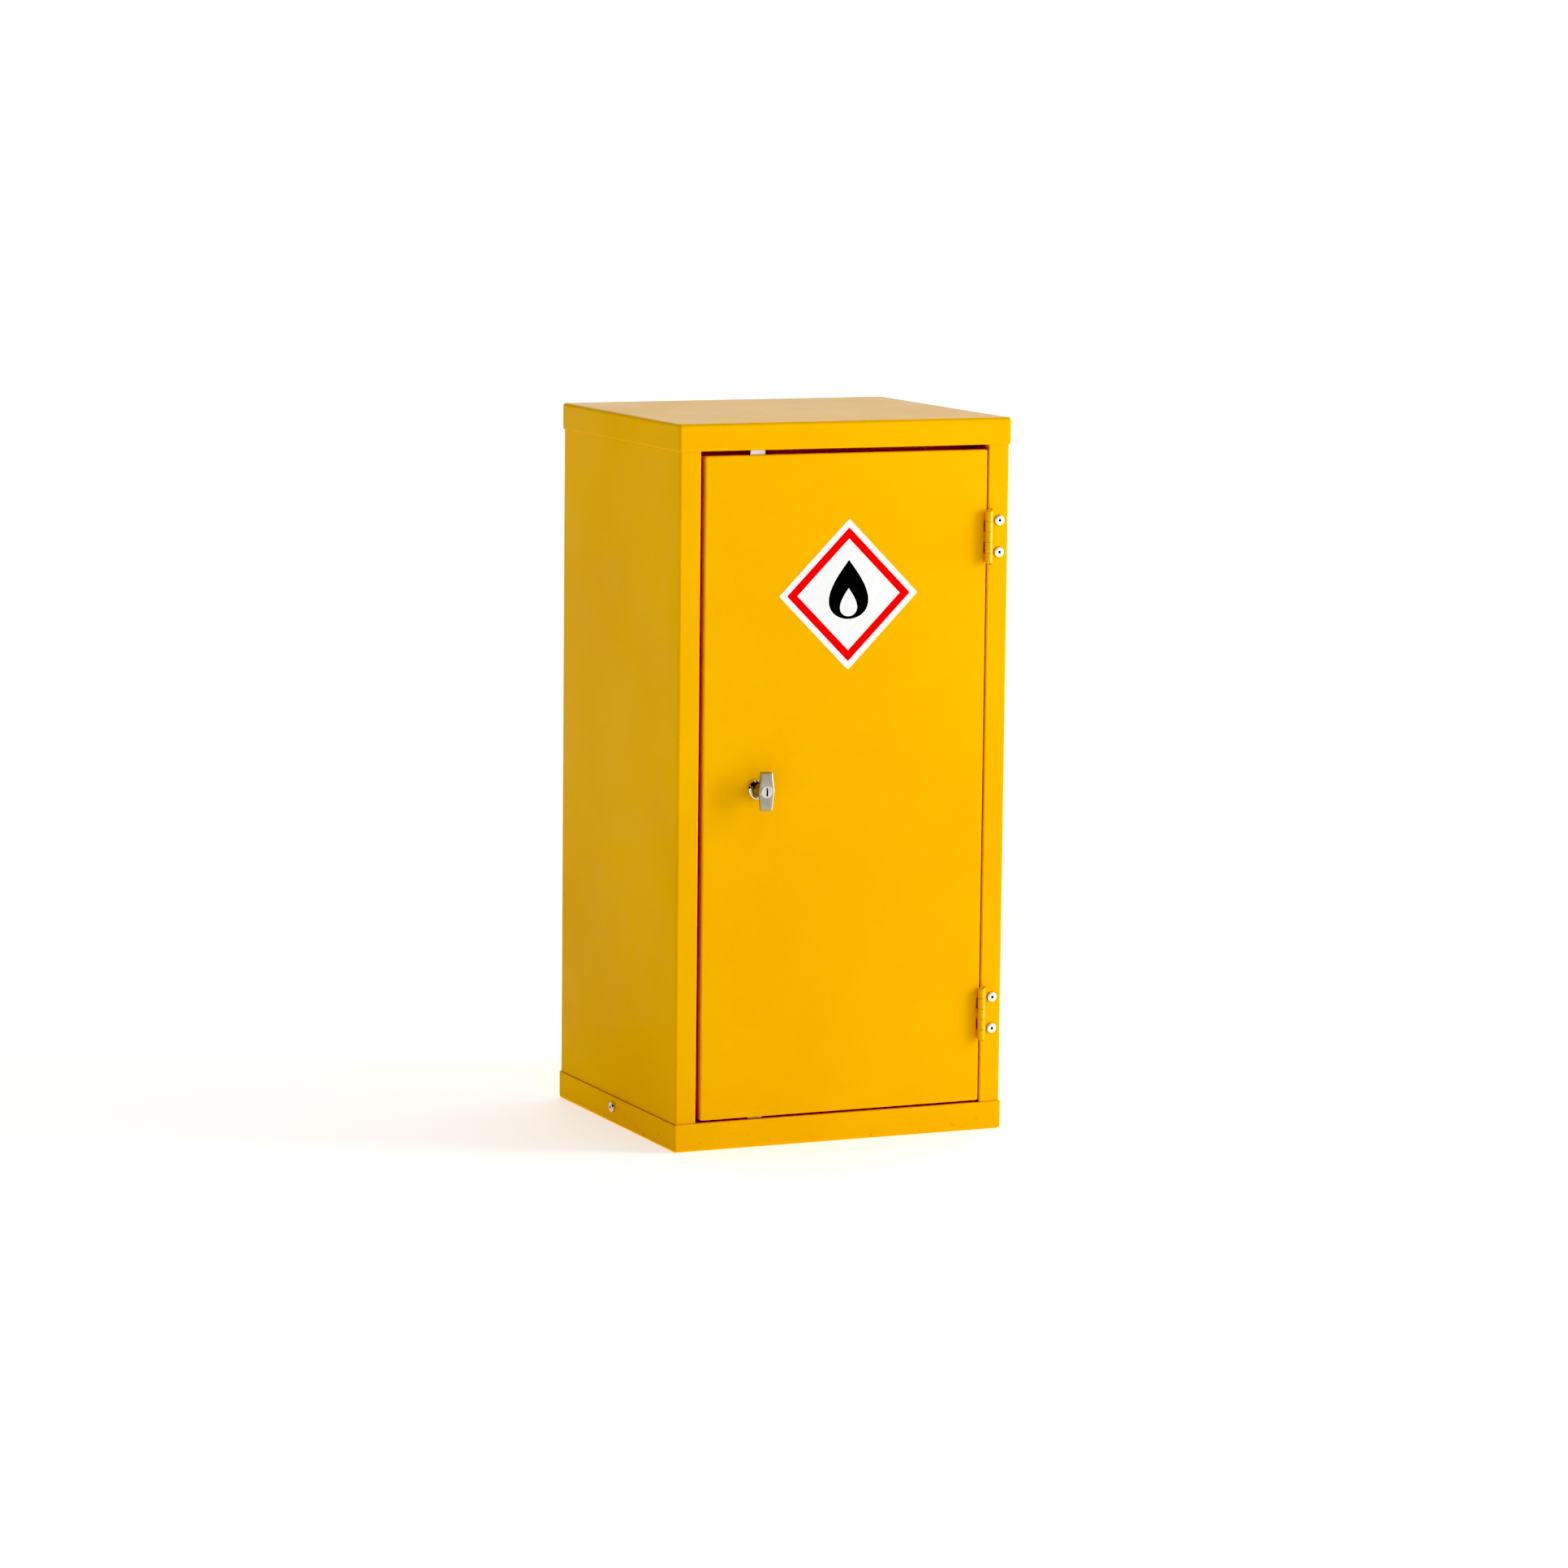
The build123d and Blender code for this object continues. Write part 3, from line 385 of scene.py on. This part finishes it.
border = [diamond(LABEL_HALF * BORDER_OUTER), diamond(LABEL_HALF * BORDER_INNER)]
film("label_red_border", border, RED_INK)
outer_drop = drop(wide=0.0285, tall=0.0290, middle=0.005)
inner_drop = drop(wide=0.0125, tall=0.0140, middle=-0.0075)
film("label_drop", [outer_drop, inner_drop], BLACK_INK)

# ---------------------------------------------------------------------------
# Floor, light and camera
# ---------------------------------------------------------------------------

FLOOR_SIZE = 400.0
FLOOR_DROP = 0.0002                        # keeps the floor just under the base
NEAR_GLOW = 0.47
FAR_GLOW = 0.60
GLOW_REACH = (0.8, 3.5)                    # the glow grows between these distances


def floor_look():
    """Pale matt studio sweep that glows a little, more so far from the cabinet."""
    s = Shader("studio_floor")
    colour = s.mix(s.noise(0.8, 2.0), (0.89, 0.89, 0.89), (0.91, 0.91, 0.91))
    glow = s.span(s.distance((0.0, 0.0, 0.0)), *GLOW_REACH, NEAR_GLOW, FAR_GLOW)
    s.put(s.bsdf.inputs["Emission Strength"], glow)
    s.bsdf.inputs["Emission Color"].default_value = (1.0, 1.0, 1.0, 1.0)
    return s.finish(colour, 0.8, IOR=1.3)


bpy.ops.mesh.primitive_plane_add(size=FLOOR_SIZE, location=(0.0, 0.0, -FLOOR_DROP))
floor = bpy.context.object
floor.name = "studio_floor"
floor.data.materials.append(floor_look())

# Room light: a plain level that grows to the right and to the back, and a little upwards
WALL_LEVEL = 1.05
ROOM_LEVEL = 0.51
ROOM_SLOPE = (0.50, 0.46, 0.05)


def light_room():
    """Sets up the sloped room light and the white wall that the camera sees."""
    world = bpy.data.worlds.new("studio")
    bpy.context.scene.world = world
    world.use_nodes = True
    nodes = world.node_tree.nodes
    links = world.node_tree.links
    direction = nodes.new("ShaderNodeTexCoord").outputs["Generated"]
    slope = nodes.new("ShaderNodeVectorMath")
    slope.operation = "DOT_PRODUCT"
    slope.inputs[1].default_value = ROOM_SLOPE
    links.new(direction, slope.inputs[0])
    level = nodes.new("ShaderNodeMath")
    level.operation = "ADD"
    level.inputs[1].default_value = ROOM_LEVEL
    links.new(slope.outputs["Value"], level.inputs[0])
    light = nodes["Background"]
    light.inputs["Color"].default_value = (1.0, 1.0, 1.0, 1.0)
    links.new(level.outputs[0], light.inputs["Strength"])
    # seen directly, the room is a plain white wall
    wall = nodes.new("ShaderNodeBackground")
    wall.inputs["Color"].default_value = (1.0, 1.0, 1.0, 1.0)
    wall.inputs["Strength"].default_value = WALL_LEVEL
    choose = nodes.new("ShaderNodeMixShader")
    links.new(nodes.new("ShaderNodeLightPath").outputs["Is Camera Ray"], choose.inputs[0])
    links.new(light.outputs[0], choose.inputs[1])
    links.new(wall.outputs[0], choose.inputs[2])
    links.new(choose.outputs[0], nodes["World Output"].inputs["Surface"])


light_room()

CABINET_FRONT = Vector((0.0, -0.15, 0.40))


def softbox(name, place, wide, tall, watts):
    """A soft rectangular light that faces the cabinet's front."""
    lamp = bpy.data.lights.new(name, "AREA")
    lamp.shape = "RECTANGLE"
    lamp.size = wide
    lamp.size_y = tall
    lamp.energy = watts
    holder = bpy.data.objects.new(name, lamp)
    place = Vector(place)
    holder.location = place
    holder.rotation_euler = (place - CABINET_FRONT).to_track_quat("Z", "Y").to_euler()
    holder.visible_camera = False
    bpy.context.scene.collection.objects.link(holder)


softbox("key", (1.75, -1.00, 0.80), wide=0.7, tall=1.6, watts=24.0)
softbox("glint_left", (-1.55, -2.05, 1.00), wide=0.30, tall=0.45, watts=4.0)
softbox("glint_above", (-0.15, -1.60, 2.05), wide=0.40, tall=0.30, watts=3.2)

# Camera: stands to the left and above, as the perspective of the cabinet's edges says
CAMERA_PLACE = Vector((-2.28346, -5.15334, 1.11777))
LENS_MM = 130.0
SENSOR_MM = 36.0
VIEW_END = 500.0                           # beyond the far edge of the floor
YAW = math.radians(23.933)
PITCH = math.radians(-7.897)
ROLL = math.radians(0.622)
ahead = Vector((
    math.sin(YAW) * math.cos(PITCH),
    math.cos(YAW) * math.cos(PITCH),
    math.sin(PITCH),
))
side = Vector((math.cos(YAW), -math.sin(YAW), 0.0))
above = side.cross(ahead)
right = side * math.cos(ROLL) + above * math.sin(ROLL)
up = above * math.cos(ROLL) - side * math.sin(ROLL)
lens = bpy.data.cameras.new("camera")
lens.lens = LENS_MM
lens.sensor_width = SENSOR_MM
lens.clip_end = VIEW_END
camera = bpy.data.objects.new("camera", lens)
bpy.context.scene.collection.objects.link(camera)
turn = Matrix((right, up, -ahead)).transposed().to_4x4()
camera.matrix_world = Matrix.Translation(CAMERA_PLACE) @ turn
bpy.context.scene.camera = camera

# Display: plain sRGB, with levels under BLACK_POINT shown black for more contrast
BLACK_POINT = 0.07
display = bpy.context.scene.view_settings
display.view_transform = "Standard"
display.use_curve_mapping = True
display.curve_mapping.black_level = (BLACK_POINT, BLACK_POINT, BLACK_POINT)
display.curve_mapping.update()
